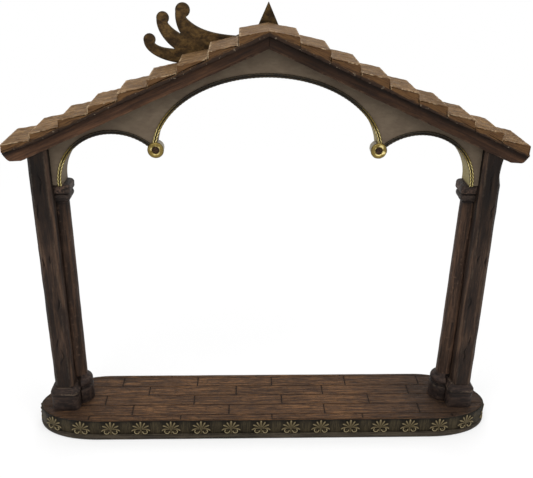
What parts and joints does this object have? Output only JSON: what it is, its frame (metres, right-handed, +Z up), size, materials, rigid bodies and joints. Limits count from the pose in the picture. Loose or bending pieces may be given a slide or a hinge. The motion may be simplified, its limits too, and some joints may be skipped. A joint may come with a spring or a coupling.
{
  "type": "nativity stable",
  "caption": "Nativity stable: round-ended planked base with a palmette band, post-and-column piers, an arched valance, a stepped shingle roof and a comet star behind the ridge.",
  "frame": {"origin": "bottom centre of the bounding box, on the table under the middle of the base", "axes": "+X runs along the length to the right seen from the front, +Y to the back, +Z up"},
  "size_m": [0.4666, 0.0844, 0.416],
  "materials": {
    "base_paint": "painted cast resin, matt, mottled",
    "frieze_paint": "painted cast resin with rubbed gold on the relief",
    "deck_paint": "painted cast resin, brown planks with a dark wash",
    "post_paint": "painted cast resin, near-black brown",
    "column_paint": "painted cast resin, red-brown with lighter streaks",
    "valance_paint": "painted cast resin, mottled grey-taupe",
    "barge_paint": "painted cast resin, dark red-brown",
    "slab_paint": "painted cast resin, dark brown",
    "shingle_paint": "painted cast resin, light brown with a dirty lower edge",
    "plug_paint": "painted cast resin, dark brown",
    "gilt": "gilt paint, worn",
    "bronze_paint": "antique bronze paint, mottled",
    "steel": "zinc plated",
    "felt": "adhesive felt"
  },
  "bodies": {
    "root": {"arch_cord_left": "gilt", "arch_cord_middle": "gilt", "arch_cord_right": "gilt", "barge_board_left": "barge_paint", "barge_board_right": "barge_paint", "base_body": "base_paint", "capital_left": "column_paint", "capital_pin_left": "steel", "capital_pin_right": "steel", "capital_right": "column_paint", "column_base_left": "column_paint", "column_base_right": "column_paint", "column_screw_left": "steel", "column_screw_right": "steel", "column_shaft_left": "column_paint", "column_shaft_right": "column_paint", "comet_pin_inner": "steel", "comet_pin_outer": "steel", "comet_star": "bronze_paint", "felt_pad_front_left": "felt", "felt_pad_front_right": "felt", "felt_pad_rear_left": "felt", "felt_pad_rear_right": "felt", "palmette_frieze": "frieze_paint", "plank_deck": "deck_paint", "plinth_left": "post_paint", "plinth_right": "post_paint", "post_left": "post_paint", "post_pin_left": "steel", "post_pin_right": "steel", "post_right": "post_paint", "post_screw_left": "steel", "post_screw_right": "steel", "ridge_cap": "shingle_paint", "roof_slab_left": "slab_paint", "roof_slab_right": "slab_paint", "roundel_left": "gilt", "roundel_plug_left": "plug_paint", "roundel_plug_right": "plug_paint", "roundel_right": "gilt", "shingle_left_1": "shingle_paint", "shingle_left_2": "shingle_paint", "shingle_left_3": "shingle_paint", "shingle_left_4": "shingle_paint", "shingle_left_5": "shingle_paint", "shingle_left_6": "shingle_paint", "shingle_left_7": "shingle_paint", "shingle_left_8": "shingle_paint", "shingle_right_1": "shingle_paint", "shingle_right_2": "shingle_paint", "shingle_right_3": "shingle_paint", "shingle_right_4": "shingle_paint", "shingle_right_5": "shingle_paint", "shingle_right_6": "shingle_paint", "shingle_right_7": "shingle_paint", "shingle_right_8": "shingle_paint", "valance": "valance_paint"}
  },
  "joints": []
}
